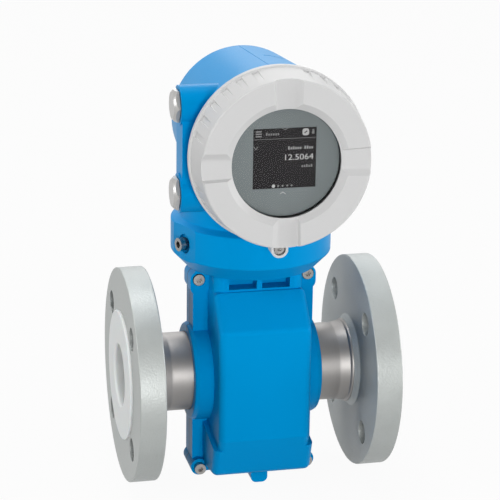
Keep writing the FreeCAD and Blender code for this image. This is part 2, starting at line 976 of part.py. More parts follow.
def terminal_block():
    top = barrel_axis - terminal_drop
    body = box(-terminal_width / 2, terminal_width / 2, module_front - terminal_depth, module_front,
               top - terminal_height, top)
    pitch = terminal_width / terminal_ways
    for way in range(terminal_ways):
        x = -terminal_width / 2 + pitch * (way + 0.5)
        start = V(x, module_front - terminal_depth - 1, top - terminal_height / 3)
        body = body.cut(bar(pitch / 3, start, start + Y_AXIS * (1 + terminal_depth / 2)))
    return body


def display_carrier():
    plate = bar(display_diameter / 2, on_head(0, display_back, 0), on_head(0, carrier_back, 0))
    solids = [plate]
    reach = carrier_post_circle / 2
    for angle in (90, 210, 330):
        x = reach * math.cos(math.radians(angle))
        up = reach * math.sin(math.radians(angle))
        solids.append(bar(carrier_post / 2, on_head(x, carrier_back, up), on_head(x, -module_front, up)))
    return fused(solids)


def display_housing():
    return turned_on_head([
        (fascia_back, 0),
        (fascia_back, display_diameter / 2, 1),
        (display_back, display_diameter / 2, 2),
        (display_back, 0),
    ])


def screen_box(play, depth):
    half = screen_width / 2 + play
    low = screen_offset - screen_height / 2 - play
    high = screen_offset + screen_height / 2 + play
    return box(-half, half, -fascia_front - 1, -fascia_front + depth, barrel_axis + low, barrel_axis + high)


def display_fascia():
    body = turned_on_head([
        (fascia_front, 0),
        (fascia_front, fascia_diameter / 2, 0.6),
        (fascia_back, fascia_diameter / 2),
        (fascia_back, 0),
    ])
    return body.cut(screen_box(thread_gap, screen_thickness + thread_gap))


def display_screen():
    body = screen_box(0, screen_thickness + thread_gap)
    return body.common(box(-screen_width, screen_width, -fascia_front + thread_gap, 0, 0, 2 * barrel_axis))


# ---------------------------------------------------------------- cover
def cover_profile():
    bore = spigot_diameter / 2 + moving_gap
    lip = window_diameter / 2
    glass = glass_diameter / 2 + thread_gap
    return [
        (cover_back, bore),
        (cover_back, cover_rim_diameter / 2, 1),
        (cover_back + cover_rim_length, cover_rim_diameter / 2, 0.8),
        (cover_back + cover_rim_length + cover_band_step, cover_band_diameter / 2),
        (cover_front - cover_edge_chamfer, cover_front_diameter / 2),
        (cover_front, cover_front_diameter / 2 - cover_edge_chamfer),
        (cover_front, lip + window_bevel, 0.6),
        (glass_seat + window_lip, lip),
        (glass_seat, lip),
        (glass_seat, glass),
        (cover_back + bore_length, glass, 1),
        (cover_back + bore_length, bore),
    ]


def grip_cutter():
    # A finger grip at twelve o'clock, open at the window and at the edge, steep on its left side
    # and gently sloping on its right.
    inner = window_diameter / 2 - 1
    outer = cover_rim_diameter / 2 + 2
    floor = cover_front - grip_depth
    sections = []
    for reach, width in ((inner, grip_inner_width), (outer, grip_outer_width)):
        half = width / 2
        section = outline([
            (-half - grip_steep_wall / grip_depth, cover_front + 1),
            (-half + grip_steep_wall, floor, grip_steep_corner),
            (half - grip_gentle_wall, floor, grip_gentle_corner),
            (half + grip_gentle_wall / grip_depth, cover_front + 1),
        ], lambda across, front, level=barrel_axis + reach: V(across, -front, level))
        sections.append(section.Wires[0])
    return Part.makeLoft(sections, True, True)


def flute_cutter(angle):
    # One flat groove of the tapering grip band, deepest at the rim and fading out before the edge.
    start = cover_back + cover_rim_length + cover_band_step
    depth_at_edge = flute_depth * (1 - 1 / flute_fade)
    half = flute_floor_width / 2
    top = half + flute_wall_lean * 2 * flute_depth
    sections = []
    for front, diameter, depth in ((start, cover_band_diameter, flute_depth),
                                   (cover_front, cover_front_diameter, depth_at_edge)):
        floor = barrel_axis + diameter / 2 - depth
        section = outline([
            (-top, floor + 2 * flute_depth),
            (-half, floor),
            (half, floor),
            (top, floor + 2 * flute_depth),
        ], lambda across, level, place=front: V(across, -place, level))
        sections.append(section.Wires[0])
    flute = Part.makeLoft(sections, True, True)
    flute.rotate(head_axis, Y_AXIS, angle)
    return flute


def cover_lug():
    start = cover_back + lug_setback
    end = start + lug_thickness
    radius = lug_diameter / 2
    tab = bar(radius, on_head(0, start, -lug_reach), on_head(0, end, -lug_reach))
    root = window_diameter / 2 + window_bevel + radius + 4
    stalk = box(-radius, radius, -end, -start, barrel_axis - lug_reach, barrel_axis - root)
    return tab.fuse(stalk).removeSplitter()


def lock_seat():
    return on_head(0, cover_back + lug_setback + lug_thickness - lock_head_height - lock_sink, -lug_reach)


def cover_ring():
    body = turned_on_head(cover_profile())
    lug = cover_lug()
    inside = bar(spigot_diameter / 2 + cover_seal_thickness + 2, on_head(0, 0, 0), on_head(0, cover_front, 0))
    body = fused([body, lug.cut(inside)])
    groove = spigot_diameter / 2 + running_fit + cover_seal_thickness + running_fit
    start = cover_back + cover_seal_inset
    body = body.cut(bar(groove, on_head(0, start - running_fit, 0),
                        on_head(0, start + cover_seal_width + running_fit, 0)))
    for cutter in around(grip_cutter(), head_axis, Y_AXIS, grip_count):
        body = body.cut(cutter)
    quarter = 360.0 / grip_count
    first = (quarter - (flutes_per_quarter - 1) * flute_pitch_angle) / 2
    flutes = []
    for quadrant in range(grip_count):
        for step in range(flutes_per_quarter):
            flutes.append(flute_cutter(quadrant * quarter + first + step * flute_pitch_angle))
    body = body.cut(Part.makeCompound(flutes))
    seat = lock_seat()
    body = body.cut(bar(lock_screw_diameter / 2 + thread_gap, seat, seat + Y_AXIS * cover_length))
    return body.cut(bar(lock_head_diameter / 2 + lock_pocket_play, seat - Y_AXIS * cover_length, seat))


def cover_lock_screw():
    length = lug_thickness - lock_head_height
    return socket_screw(lock_seat(), Y_AXIS, lock_screw_diameter, length, lock_head_diameter,
                        lock_head_height, lock_socket, lock_socket_depth)


def cover_window():
    return bar(glass_diameter / 2, on_head(0, glass_back, 0), on_head(0, glass_front, 0))


def window_seal():
    return ring(glass_diameter / 2, window_diameter / 2 + 1,
                on_head(0, glass_front, 0), on_head(0, glass_seat, 0))


def window_retainer():
    outer = glass_diameter / 2
    return ring(outer, outer - retainer_width, on_head(0, retainer_back, 0), on_head(0, glass_back, 0))


def cover_seal():
    inner = spigot_diameter / 2 + running_fit
    start = cover_back + cover_seal_inset
    return ring(inner + cover_seal_thickness, inner, on_head(0, start, 0),
                on_head(0, start + cover_seal_width, 0))


# ---------------------------------------------------------------- all pieces
def pieces():
    front, rear, gasket = shells()
    low_entry, high_entry = entry_levels()
    return {
        "measuring_tube": measuring_tube(),
        "inlet_flange": flange(-1),
        "outlet_flange": flange(1),
        "weld_beads": weld_beads(),
        "tube_liner": tube_liner(),
        "electrode_front": electrode(),
        "electrode_rear": mirrored_y(electrode()),
        "electrode_sleeves": Part.makeCompound([electrode_sleeve(), mirrored_y(electrode_sleeve())]),
        "electrode_nuts": Part.makeCompound([electrode_nut(), mirrored_y(electrode_nut())]),
        "coil_upper": coil(),
        "coil_lower": turned_under(coil()),
        "pole_core_upper": pole_core(),
        "pole_core_lower": turned_under(pole_core()),
        "magnet_yoke": magnet_yoke(),
        "shell_front": front,
        "shell_rear": rear,
        "shell_gasket": gasket,
        "shell_screws": shell_screws(),
        "tube_seals": tube_seals(),
        "neck_ring": neck_ring(),
        "neck_seal": neck_seal(),
        "transmitter_housing": transmitter_housing(),
        "collar_screws": collar_screws(),
        "cable_plug_upper": cable_plug(high_entry),
        "cable_plug_lower": cable_plug(low_entry),
        "plug_seals": plug_seals(),
        "electronics_module": electronics_module(),
        "module_screws": module_screws(),
        "terminal_block": terminal_block(),
        "display_carrier": display_carrier(),
        "display_housing": display_housing(),
        "display_fascia": display_fascia(),
        "display_screen": display_screen(),
        "cover_seal": cover_seal(),
        "cover_ring": cover_ring(),
        "cover_window": cover_window(),
        "window_seal": window_seal(),
        "window_retainer": window_retainer(),
        "cover_lock_screw": cover_lock_screw(),
    }


def main():
    os.makedirs("parts", exist_ok=True)
    for name, shape in pieces().items():
        shape.exportStep("parts/" + name + ".step")
        print(name, len(shape.Solids), round(shape.Volume), shape.isValid())


main()
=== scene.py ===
import bpy
import bmesh
import json
import math
from mathutils import Matrix, Vector


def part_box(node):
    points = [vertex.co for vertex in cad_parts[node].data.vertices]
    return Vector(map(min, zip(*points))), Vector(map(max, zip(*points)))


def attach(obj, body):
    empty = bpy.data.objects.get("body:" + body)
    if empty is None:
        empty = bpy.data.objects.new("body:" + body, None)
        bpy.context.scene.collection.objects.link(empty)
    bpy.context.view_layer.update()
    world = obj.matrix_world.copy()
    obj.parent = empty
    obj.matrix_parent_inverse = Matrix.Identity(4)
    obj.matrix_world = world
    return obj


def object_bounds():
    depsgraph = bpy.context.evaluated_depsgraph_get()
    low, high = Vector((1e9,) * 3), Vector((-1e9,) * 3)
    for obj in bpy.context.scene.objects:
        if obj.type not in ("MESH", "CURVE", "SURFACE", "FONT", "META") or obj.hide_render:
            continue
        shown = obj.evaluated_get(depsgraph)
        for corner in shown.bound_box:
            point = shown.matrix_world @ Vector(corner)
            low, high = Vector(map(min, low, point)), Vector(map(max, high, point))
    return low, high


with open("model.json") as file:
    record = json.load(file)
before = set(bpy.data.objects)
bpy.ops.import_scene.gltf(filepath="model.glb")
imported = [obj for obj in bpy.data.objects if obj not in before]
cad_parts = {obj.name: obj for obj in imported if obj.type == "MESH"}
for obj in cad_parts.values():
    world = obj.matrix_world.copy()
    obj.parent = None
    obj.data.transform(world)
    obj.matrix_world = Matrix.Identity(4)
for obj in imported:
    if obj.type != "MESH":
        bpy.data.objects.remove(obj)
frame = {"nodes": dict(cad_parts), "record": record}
cadBounds = [list(corner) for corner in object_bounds()]
nodes = frame["nodes"]
scene = bpy.context.scene
print("stage 1: frame loaded,", len(nodes), "nodes")

# camera: stands in front of the display, a little to the inlet side and above it
cameraValues = {
    "azimuth": -13.21,      # degrees round the meter, negative is towards the inlet
    "elevation": 17.6,
    "roll": 0.82,
    "distance": 1.581,
    "target": (-0.0003, 0.0, 0.0945),
    "lens": 149.0,
    "sensor": 36.0,
    "nearest": 0.05,
    "farthest": 60.0,
}


def viewAxes(azimuth, elevation):
    # Unit vectors pointing back to the viewer, to the right and up.
    turn = math.radians(azimuth)
    rise = math.radians(elevation)
    back = Vector((math.sin(turn) * math.cos(rise), -math.cos(turn) * math.cos(rise), math.sin(rise)))
    side = Vector((math.cos(turn), math.sin(turn), 0))
    return back, side, back.cross(side)


def addCamera(values):
    back, side, up = viewAxes(values["azimuth"], values["elevation"])
    roll = math.radians(values["roll"])
    right = side * math.cos(roll) + up * math.sin(roll)
    top = up * math.cos(roll) - side * math.sin(roll)
    data = bpy.data.cameras.new("camera")
    data.lens = values["lens"]
    data.sensor_width = values["sensor"]
    data.clip_start = values["nearest"]
    data.clip_end = values["farthest"]
    camera = bpy.data.objects.new("camera", data)
    scene.collection.objects.link(camera)
    place = Matrix((right, top, back)).transposed().to_4x4()
    place.translation = Vector(values["target"]) + back * values["distance"]
    camera.matrix_world = place
    scene.camera = camera


addCamera(cameraValues)
scene.view_settings.view_transform = "Standard"
print("stage 2: camera placed")

# studio: soft lamps round the meter, a white room and a pale floor
worldValues = {
    "ambient": 0.22,            # light that the room gives to matt surfaces
    "dimTowards": (-13.0, 12.0),    # azimuth and elevation of the dark end of the room
    "dimInside": 22.0,          # degrees from there that stay fully dim
    "dimOutside": 58.0,
    "dimShare": 0.22,
}
floorValues = {
    "drop": 0.0004,             # below the lowest point of the meter
    "halfSize": 30.0,
    "white": 0.45,
    "glow": 0.95,               # share of plain white seen directly and in reflections
}
lampAim = (0.0, 0.0, 0.09)      # the point that every lamp faces
lampValues = {
    "frontLamp": {"azimuth": -3, "elevation": 5, "distance": 2.6, "size": 0.9, "power": 38.0},
    "rightLamp": {"azimuth": 70, "elevation": 10, "distance": 2.6, "size": 1.3, "power": 34.0},
    "leftLamp": {"azimuth": -78, "elevation": 22, "distance": 2.6, "size": 1.2, "power": 26.0},
    "topLamp": {"azimuth": -160, "elevation": 75, "distance": 2.3, "size": 1.0, "power": 30.0},
    "backLamp": {"azimuth": 165, "elevation": 30, "distance": 2.6, "size": 1.6, "power": 12.0},
}


def addLamp(name, values):
    data = bpy.data.lights.new(name, "AREA")
    data.shape = "DISK"
    data.size = values["size"]
    data.energy = values["power"]
    lamp = bpy.data.objects.new(name, data)
    lamp.visible_transmission = False   # the window's shadow rays already carry this light
    scene.collection.objects.link(lamp)
    back = viewAxes(values["azimuth"], values["elevation"])[0]
    lamp.location = Vector(lampAim) + back * values["distance"]
    lamp.rotation_euler = back.to_track_quat("Z", "Y").to_euler()


def mathNode(tree, operation, first, second):
    node = tree.nodes.new("ShaderNodeMath")
    node.operation = operation
    for index, value in enumerate((first, second)):
        if isinstance(value, (int, float)):
            node.inputs[index].default_value = value
        else:
            tree.links.new(value, node.inputs[index])
    return node.outputs[0]


def rangeNode(tree, value, low, high, toLow, toHigh):
    node = tree.nodes.new("ShaderNodeMapRange")
    node.interpolation_type = "SMOOTHSTEP"
    for label, number in (("From Min", low), ("From Max", high), ("To Min", toLow), ("To Max", toHigh)):
        node.inputs[label].default_value = number
    tree.links.new(value, node.inputs["Value"])
    return node.outputs[0]


def shownRays(tree, others):
    # 1 where the viewer sees the surroundings straight, or through glass, or as others gives; 0 for
    # light that has met a matt surface on the way.
    path = tree.nodes.new("ShaderNodeLightPath")
    shown = mathNode(tree, "MAXIMUM", path.outputs["Is Camera Ray"], path.outputs["Is Transmission Ray"])
    shown = mathNode(tree, "MAXIMUM", shown, others)
    unscattered = mathNode(tree, "LESS_THAN", path.outputs["Diffuse Depth"], 0.5)
    return mathNode(tree, "MULTIPLY", shown, unscattered)


def addWorld(values):
    world = bpy.data.worlds.new("studioRoom")
    world.use_nodes = True
    scene.world = world
    tree = world.node_tree
    background = tree.nodes["Background"]
    background.inputs["Color"].default_value = (1, 1, 1, 1)
    place = tree.nodes.new("ShaderNodeTexCoord")
    dot = tree.nodes.new("ShaderNodeVectorMath")
    dot.operation = "DOT_PRODUCT"
    dot.inputs[1].default_value = viewAxes(*values["dimTowards"])[0]
    tree.links.new(place.outputs["Generated"], dot.inputs[0])
    dim = rangeNode(tree, dot.outputs["Value"], math.cos(math.radians(values["dimOutside"])),
                    math.cos(math.radians(values["dimInside"])), 1.0, values["dimShare"])
    path = tree.nodes.new("ShaderNodeLightPath")
    glossy = mathNode(tree, "MULTIPLY", path.outputs["Is Glossy Ray"], dim)
    shown = shownRays(tree, glossy)
    unseen = mathNode(tree, "SUBTRACT", 1.0, shownRays(tree, path.outputs["Is Glossy Ray"]))
    tree.links.new(mathNode(tree, "ADD", shown, mathNode(tree, "MULTIPLY", unseen, values["ambient"])),
                   background.inputs["Strength"])


def addFloor(values):
    level = cadBounds[0][2] - values["drop"]
    mesh = bpy.data.meshes.new("floor")
    build = bmesh.new()
    bmesh.ops.create_grid(build, x_segments=1, y_segments=1, size=values["halfSize"])
    bmesh.ops.translate(build, verts=build.verts, vec=(0, 0, level))
    build.to_mesh(mesh)
    build.free()
    floor = bpy.data.objects.new("floor", mesh)
    scene.collection.objects.link(floor)
    material = bpy.data.materials.new("floorPaper")
    material.use_nodes = True
    tree = material.node_tree
    tree.nodes.remove(tree.nodes["Principled BSDF"])
    paper = tree.nodes.new("ShaderNodeBsdfDiffuse")
    paper.inputs["Color"].default_value = (values["white"],) * 3 + (1,)
    glow = tree.nodes.new("ShaderNodeEmission")
    path = tree.nodes.new("ShaderNodeLightPath")
    shown = shownRays(tree, path.outputs["Is Glossy Ray"])
    blend = tree.nodes.new("ShaderNodeMixShader")
    tree.links.new(mathNode(tree, "MULTIPLY", shown, values["glow"]), blend.inputs["Fac"])
    tree.links.new(paper.outputs[0], blend.inputs[1])
    tree.links.new(glow.outputs[0], blend.inputs[2])
    tree.links.new(blend.outputs[0], tree.nodes["Material Output"].inputs["Surface"])
    mesh.materials.append(material)


addWorld(worldValues)
addFloor(floorValues)
for lampName, lampSet in lampValues.items():
    addLamp(lampName, lampSet)
print("stage 3: studio lit")


# shader effects that several finishes share
def newGroup(name, inputs, outputs):
    group = bpy.data.node_groups.new(name, "ShaderNodeTree")
    for label, kind, value in inputs:
        socket = group.interface.new_socket(label, in_out="INPUT", socket_type=kind)
        socket.default_value = value
    for label, kind in outputs:
        group.interface.new_socket(label, in_out="OUTPUT", socket_type=kind)
    start = group.nodes.new("NodeGroupInput")
    end = group.nodes.new("NodeGroupOutput")
    return group, start, end


def noiseNode(tree, vector, scale, detail, roughness=0.5):
    noise = tree.nodes.new("ShaderNodeTexNoise")
    noise.inputs["Detail"].default_value = detail
    noise.inputs["Roughness"].default_value = roughness
    tree.links.new(vector, noise.inputs["Vector"])
    if isinstance(scale, (int, float)):
        noise.inputs["Scale"].default_value = scale
    else:
        tree.links.new(scale, noise.inputs["Scale"])
    return noise.outputs["Fac"]


def shadeNode(tree, colour, value):
    shade = tree.nodes.new("ShaderNodeHueSaturation")
    tree.links.new(colour, shade.inputs["Color"])
    tree.links.new(value, shade.inputs["Value"])
    return shade.outputs["Color"]


def around(tree, value, share):
    # A noise value turned into a swing of plus or minus half the share.
    return mathNode(tree, "MULTIPLY", mathNode(tree, "SUBTRACT", value, 0.5), share)


edgeValues = {
    "samples": 6,
    "full": 0.8,                # cosine between the rounded and the true normal where an edge gets the full painted highlight
    "none": 0.985,              # the same cosine where the face counts as flat
    "paintWidth": 0.0008,
    "metalWidth": 0.0004,
}


def edgeMask(tree, width):
    # Near an outer or inner edge a rounded normal leans away from the face: 0 on the flat, 1 at
    # the edge.
    rounded = tree.nodes.new("ShaderNodeBevel")
    rounded.samples = edgeValues["samples"]
    rounded.inputs["Radius"].default_value = width
    flat = tree.nodes.new("ShaderNodeNewGeometry")
    dot = tree.nodes.new("ShaderNodeVectorMath")
    dot.operation = "DOT_PRODUCT"
    tree.links.new(rounded.outputs["Normal"], dot.inputs[0])
    tree.links.new(flat.outputs["Normal"], dot.inputs[1])
    return rangeNode(tree, dot.outputs["Value"], edgeValues["full"], edgeValues["none"], 1.0, 0.0)


paintValues = {
    "peelDetail": 2.0,
    "peelRoughness": 0.45,
    "peelSheen": 0.08,          # how far the peel moves the roughness
    "driftDetail": 3.0,
    "speckScale": 420.0,
    "speckDetail": 3.0,
    "speckRoughness": 0.6,
    "speckRange": (0.64, 0.74),     # noise values between which a speck fades in
    "wearRange": (0.3, 0.6),        # drift values between which the painted edge highlight grows from least to full
    "edgeHighlightLeast": 0.5,
    "edgeHighlightPolish": 0.5,          # how much smoother an edge under the painted highlight is
}


def makePaintGroup():
    # Powder coat: orange peel, a slow drift in tone, sparse dull specks of dust, and paler edges that
    # are a painted highlight.
    group, start, end = newGroup("powderCoat", [
        ("Colour", "NodeSocketColor", (0.5, 0.5, 0.5, 1)),
        ("Peel Scale", "NodeSocketFloat", 900.0),
        ("Drift Scale", "NodeSocketFloat", 14.0),
        ("Drift", "NodeSocketFloat", 0.1),
        ("Specks", "NodeSocketFloat", 0.05),
        ("Painted Edge Highlight", "NodeSocketFloat", 0.15),
        ("Roughness", "NodeSocketFloat", 0.4),
    ], [("Colour", "NodeSocketColor"), ("Roughness", "NodeSocketFloat"), ("Height", "NodeSocketFloat")])
    place = group.nodes.new("ShaderNodeTexCoord").outputs["Object"]
    peel = noiseNode(group, place, start.outputs["Peel Scale"], paintValues["peelDetail"],
                     paintValues["peelRoughness"])
    drift = noiseNode(group, place, start.outputs["Drift Scale"], paintValues["driftDetail"])
    dust = noiseNode(group, place, paintValues["speckScale"], paintValues["speckDetail"],
                     paintValues["speckRoughness"])
    speck = rangeNode(group, dust, *paintValues["speckRange"], 0.0, 1.0)
    dull = mathNode(group, "MULTIPLY", speck, start.outputs["Specks"])
    swing = around(group, drift, start.outputs["Drift"])
    # Painted highlight: the colour is made paler along edges, standing in for light caught on their
    # rounding.
    edge = edgeMask(group, edgeValues["paintWidth"])
    uneven = rangeNode(group, drift, *paintValues["wearRange"], paintValues["edgeHighlightLeast"], 1.0)
    paintedEdgeHighlight = mathNode(group, "MULTIPLY", edge, uneven)
    paintedEdgeHighlight = mathNode(group, "MULTIPLY", paintedEdgeHighlight, start.outputs["Painted Edge Highlight"])
    value = mathNode(group, "SUBTRACT", mathNode(group, "ADD", swing, 1.0), dull)
    value = mathNode(group, "ADD", value, paintedEdgeHighlight)
    rough = mathNode(group, "ADD", mathNode(group, "ADD", start.outputs["Roughness"], swing), dull)
    rough = mathNode(group, "SUBTRACT", rough,
                     mathNode(group, "MULTIPLY", paintedEdgeHighlight, paintValues["edgeHighlightPolish"]))
    rough = mathNode(group, "ADD", rough, around(group, peel, paintValues["peelSheen"]))
    group.links.new(shadeNode(group, start.outputs["Colour"], value), end.inputs["Colour"])
    group.links.new(rough, end.inputs["Roughness"])
    group.links.new(peel, end.inputs["Height"])
    return group


brushValues = {
    "lineDetail": 4.0,
    "lineRoughness": 0.6,
    "blotchScale": 45.0,
    "blotchDetail": 3.0,
    "blotchShare": 0.6,         # how strongly the blotches stir the lines
}


def makeBrushGroup():
    # Turned or brushed metal: fine lines, close together along the axes with a high line scale,
    # over slow blotches, with paler edges that are a painted highlight.
    group, start, end = newGroup("brushedMetal", [
        ("Colour", "NodeSocketColor", (0.5, 0.5, 0.5, 1)),
        ("Line Scale", "NodeSocketVector", (1.0, 1.0, 1.0)),
        ("Contrast", "NodeSocketFloat", 0.2),
        ("Painted Edge Highlight", "NodeSocketFloat", 0.2),
        ("Roughness", "NodeSocketFloat", 0.3),
    ], [("Colour", "NodeSocketColor"), ("Roughness", "NodeSocketFloat"), ("Height", "NodeSocketFloat")])
    place = group.nodes.new("ShaderNodeTexCoord").outputs["Object"]
    stretch = group.nodes.new("ShaderNodeVectorMath")
    stretch.operation = "MULTIPLY"
    group.links.new(place, stretch.inputs[0])
    group.links.new(start.outputs["Line Scale"], stretch.inputs[1])
    lines = noiseNode(group, stretch.outputs[0], 1.0, brushValues["lineDetail"],
                      brushValues["lineRoughness"])
    blotch = noiseNode(group, place, brushValues["blotchScale"], brushValues["blotchDetail"])
    mixed = mathNode(group, "ADD", lines, around(group, blotch, brushValues["blotchShare"]))
    swing = around(group, mixed, start.outputs["Contrast"])
    # Painted highlight: the colour is made paler along edges, standing in for light caught on their
    # rounding.
    edge = edgeMask(group, edgeValues["metalWidth"])
    paintedEdgeHighlight = mathNode(group, "MULTIPLY", edge, start.outputs["Painted Edge Highlight"])
    value = mathNode(group, "ADD", mathNode(group, "ADD", swing, 1.0), paintedEdgeHighlight)
    group.links.new(shadeNode(group, start.outputs["Colour"], value), end.inputs["Colour"])
    group.links.new(mathNode(group, "ADD", swing, start.outputs["Roughness"]), end.inputs["Roughness"])
    group.links.new(lines, end.inputs["Height"])
    return group


mouldValues = {"grainDetail": 1.0, "mottleScale": 60.0, "mottleDetail": 3.0}


def makeMouldGroup():
    # Moulded plastic and rubber: a fine spark texture with a little mottling.
    group, start, end = newGroup("mouldedTexture", [
        ("Colour", "NodeSocketColor", (0.5, 0.5, 0.5, 1)),
        ("Grain Scale", "NodeSocketFloat", 1800.0),
        ("Mottle", "NodeSocketFloat", 0.08),
        ("Roughness", "NodeSocketFloat", 0.5),
    ], [("Colour", "NodeSocketColor"), ("Roughness", "NodeSocketFloat"), ("Height", "NodeSocketFloat")])
    place = group.nodes.new("ShaderNodeTexCoord").outputs["Object"]
    grain = noiseNode(group, place, start.outputs["Grain Scale"], mouldValues["grainDetail"])
    mottle = noiseNode(group, place, mouldValues["mottleScale"], mouldValues["mottleDetail"])
    swing = around(group, mottle, start.outputs["Mottle"])
    group.links.new(shadeNode(group, start.outputs["Colour"], mathNode(group, "ADD", swing, 1.0)),
                    end.inputs["Colour"])
    group.links.new(mathNode(group, "ADD", swing, start.outputs["Roughness"]), end.inputs["Roughness"])
    group.links.new(grain, end.inputs["Height"])
    return group


paintGroup = makePaintGroup()
brushGroup = makeBrushGroup()
mouldGroup = makeMouldGroup()


def addEffect(tree, group, values):
    effect = tree.nodes.new("ShaderNodeGroup")
    effect.node_tree = group
    for label, value in values.items():
        effect.inputs[label].default_value = value
    return effect


def addRelief(tree, principled, height, bump, depth):
    relief = tree.nodes.new("ShaderNodeBump")
    relief.inputs["Strength"].default_value = bump
    relief.inputs["Distance"].default_value = depth
    tree.links.new(height, relief.inputs["Height"])
    tree.links.new(relief.outputs["Normal"], principled.inputs["Normal"])


def makeFinish(name, group, values, bump=0.1, depth=0.0002, **shader):
    # One material: the group's colour, roughness and relief on a Principled shader.
    material = bpy.data.materials.new(name)
    material.use_nodes = True
    tree = material.node_tree
    principled = tree.nodes["Principled BSDF"]
    effect = addEffect(tree, group, values)
    tree.links.new(effect.outputs["Colour"], principled.inputs["Base Color"])
    tree.links.new(effect.outputs["Roughness"], principled.inputs["Roughness"])
    addRelief(tree, principled, effect.outputs["Height"], bump, depth)
    for label, value in shader.items():
        principled.inputs[label.replace("_", " ")].default_value = value
    return material


finishes = {
    "blue_paint": makeFinish("bluePowderCoat", paintGroup, {
        "Colour": (0.0, 0.252, 0.575, 1), "Peel Scale": 800.0, "Drift": 0.06, "Roughness": 0.38},
        bump=0.12, depth=0.0003, IOR=1.22, Specular_IOR_Level=0.5, Specular_Tint=(0.0, 0.4, 1.0, 1)),
    "cover_paint": makeFinish("greyPowderCoat", paintGroup, {
        "Colour": (0.54, 0.54, 0.54, 1), "Peel Scale": 900.0, "Drift": 0.03, "Specks": 0.02,
        "Roughness": 0.42}, bump=0.1, depth=0.0003, Specular_IOR_Level=0.3),
    "flange_paint": makeFinish("flangeCoat", paintGroup, {
        "Colour": (0.375, 0.395, 0.385, 1), "Peel Scale": 650.0, "Drift Scale": 45.0, "Drift": 0.24,
        "Specks": 0.07, "Roughness": 0.46}, bump=0.4, depth=0.0005, Metallic=0.4),
    "tube_steel": makeFinish("turnedSteel", brushGroup, {
        "Colour": (0.28, 0.27, 0.262, 1), "Line Scale": (900.0, 12.0, 12.0), "Contrast": 0.18,
        "Roughness": 0.48}, bump=0.04, depth=0.0001, Metallic=1.0),
    "screw_steel": makeFinish("screwSteel", brushGroup, {
        "Colour": (0.3, 0.293, 0.285, 1), "Line Scale": (300.0, 300.0, 300.0), "Contrast": 0.25,
        "Roughness": 0.27}, bump=0.05, depth=0.0001, Metallic=1.0),
    "plug_nickel": makeFinish("plugNickel", brushGroup, {
        "Colour": (0.42, 0.415, 0.405, 1), "Line Scale": (60.0, 700.0, 700.0), "Contrast": 0.15,
        "Roughness": 0.33}, bump=0.05, depth=0.0001, Metallic=0.65),
    "neck_aluminium": makeFinish("turnedAluminium", brushGroup, {
        "Colour": (0.55, 0.56, 0.57, 1), "Line Scale": (30.0, 30.0, 900.0), "Contrast": 0.2,
        "Roughness": 0.35}, bump=0.1, depth=0.0001, Metallic=1.0),
    "liner": makeFinish("whiteLiner", mouldGroup, {
        "Colour": (0.78, 0.775, 0.765, 1), "Grain Scale": 900.0, "Mottle": 0.04, "Roughness": 0.58},
        bump=0.04, Subsurface_Weight=0.1, Specular_IOR_Level=0.3),
    "white_plastic": makeFinish("whitePlastic", mouldGroup, {
        "Colour": (0.7, 0.7, 0.68, 1), "Roughness": 0.45}, bump=0.06),
    "black_plastic": makeFinish("blackPlastic", mouldGroup, {
        "Colour": (0.03, 0.03, 0.03, 1), "Roughness": 0.5}, bump=0.1),
    "green_plastic": makeFinish("greenPlastic", mouldGroup, {
        "Colour": (0.05, 0.3, 0.12, 1), "Roughness": 0.45}, bump=0.06),
    "fascia_plastic": makeFinish("fasciaPlastic", mouldGroup, {
        "Colour": (0.13, 0.15, 0.152, 1), "Grain Scale": 2500.0, "Mottle": 0.03, "Roughness": 0.5},
        bump=0.08, depth=0.0001, Specular_IOR_Level=0.2),
    "screen_glass": makeFinish("screenGlass", mouldGroup, {
        "Colour": (0.012, 0.011, 0.012, 1), "Grain Scale": 400.0, "Mottle": 0.02, "Roughness": 0.2},
        bump=0.0, Specular_IOR_Level=0.15),
    "seal_rubber": makeFinish("sealRubber", mouldGroup, {
        "Colour": (0.02, 0.02, 0.02, 1), "Grain Scale": 1200.0, "Roughness": 0.6}, bump=0.15),
    "winding": makeFinish("copperWinding", brushGroup, {
        "Colour": (0.6, 0.22, 0.08, 1), "Line Scale": (60.0, 60.0, 2500.0), "Contrast": 0.4,
        "Roughness": 0.3}, bump=0.3, depth=0.0003, Metallic=1.0),
    "core_iron": makeFinish("coreIron", brushGroup, {
        "Colour": (0.2, 0.2, 0.2, 1), "Line Scale": (200.0, 200.0, 200.0), "Contrast": 0.25,
        "Roughness": 0.4}, bump=0.1, Metallic=1.0),
}


glassValues = {
    "bending": 1.12,            # index of refraction
    "smudgeScale": 90.0,
    "smudgeDetail": 4.0,
    "roughest": 0.02,
}


def makeGlass(values):
    # Clear glass with faint smudges. Shadow rays pass straight through it to the display.
    material = bpy.data.materials.new("windowGlass")
    material.use_nodes = True
    tree = material.node_tree
    principled = tree.nodes["Principled BSDF"]
    principled.inputs["Base Color"].default_value = (1, 1, 1, 1)
    principled.inputs["Transmission Weight"].default_value = 1.0
    principled.inputs["IOR"].default_value = values["bending"]
    place = tree.nodes.new("ShaderNodeTexCoord").outputs["Object"]
    smudge = noiseNode(tree, place, values["smudgeScale"], values["smudgeDetail"])
    tree.links.new(rangeNode(tree, smudge, 0.0, 1.0, 0.0, values["roughest"]),
                   principled.inputs["Roughness"])
    clear = tree.nodes.new("ShaderNodeBsdfTransparent")
    path = tree.nodes.new("ShaderNodeLightPath")
    blend = tree.nodes.new("ShaderNodeMixShader")
    tree.links.new(path.outputs["Is Shadow Ray"], blend.inputs["Fac"])
    tree.links.new(principled.outputs[0], blend.inputs[1])
    tree.links.new(clear.outputs[0], blend.inputs[2])
    tree.links.new(blend.outputs[0], tree.nodes["Material Output"].inputs["Surface"])
    return material


finishes["window_glass"] = makeGlass(glassValues)

slotOfNode = {part["node"]: part["material_slot"] for part in frame["record"]["subparts"]}
for nodeName, node in nodes.items():
    for place in node.material_slots:
        place.material = finishes[slotOfNode[nodeName]]
print("stage 4: finishes on", len(nodes), "nodes")

